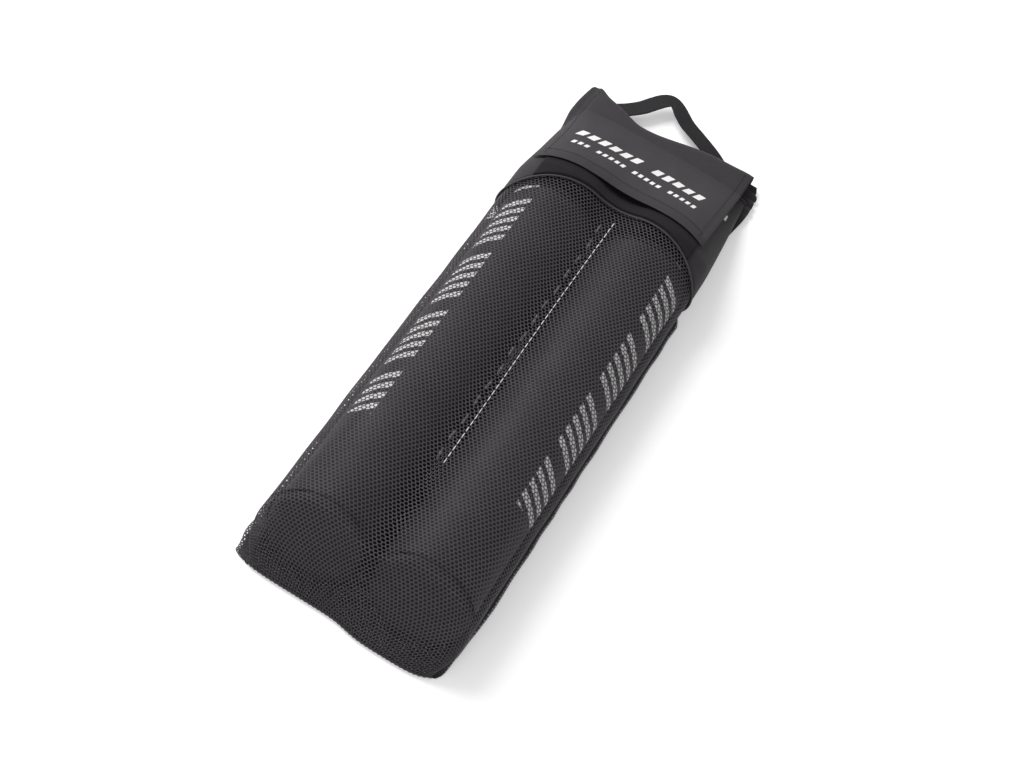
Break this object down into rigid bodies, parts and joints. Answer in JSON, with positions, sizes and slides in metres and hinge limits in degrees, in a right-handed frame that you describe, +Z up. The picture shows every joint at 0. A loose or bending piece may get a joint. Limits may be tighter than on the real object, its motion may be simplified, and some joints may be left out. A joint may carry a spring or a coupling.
{
  "type": "pair of roof rack bar pads in a mesh carry bag",
  "caption": "Padded sleeves for roof rack bars, packed side by side in a honeycomb mesh carry bag with a woven header, fold-over flap and webbing handle.",
  "frame": {"origin": "middle of the outer box in X and Y, on the flat surface that the bag lies on", "axes": "+Y along the pads from the closed bottom of the bag to its header and handle, +Z up out of the surface, +X to the right seen from the bottom of the bag"},
  "size_m": [0.3078, 0.9919, 0.1143],
  "materials": {
    "foam": "closed-cell foam, matt",
    "cover_cloth": "coated woven polyester, satin",
    "piping": "rolled edge binding, satin",
    "honeycomb_mesh": "knitted polyester net with six-sided openings",
    "header_cloth": "plain-woven polyester, matt",
    "seam_binding": "woven binding tape, half gloss",
    "loop_tape": "brushed loops, fuzzy",
    "hook_tape": "moulded nylon hooks",
    "webbing": "ribbed flat webbing",
    "tag_cloth": "smooth woven tag, bare"
  },
  "bodies": {
    "root": {"left_pad_foam_core": "foam", "left_pad_cover": "cover_cloth", "left_pad_near_end": "cover_cloth", "left_pad_far_end": "cover_cloth", "left_pad_near_piping": "piping", "left_pad_far_piping": "piping", "left_pad_closure_loop_strip": "loop_tape", "left_pad_closure_hook_strip": "hook_tape", "right_pad_foam_core": "foam", "right_pad_cover": "cover_cloth", "right_pad_near_end": "cover_cloth", "right_pad_far_end": "cover_cloth", "right_pad_near_piping": "piping", "right_pad_far_piping": "piping", "right_pad_closure_loop_strip": "loop_tape", "right_pad_closure_hook_strip": "hook_tape", "bag_mesh_front": "honeycomb_mesh", "bag_mesh_back": "honeycomb_mesh", "bag_bottom_fold": "honeycomb_mesh", "bag_left_side_seam": "seam_binding", "bag_right_side_seam": "seam_binding", "header_front_band": "header_cloth", "header_lower_hem": "seam_binding", "header_mouth_hem": "header_cloth", "header_back_and_flap": "header_cloth", "flap_loop_tape": "loop_tape", "flap_hook_tape": "hook_tape", "side_label_tag": "tag_cloth", "handle_webbing": "webbing"}
  },
  "joints": []
}
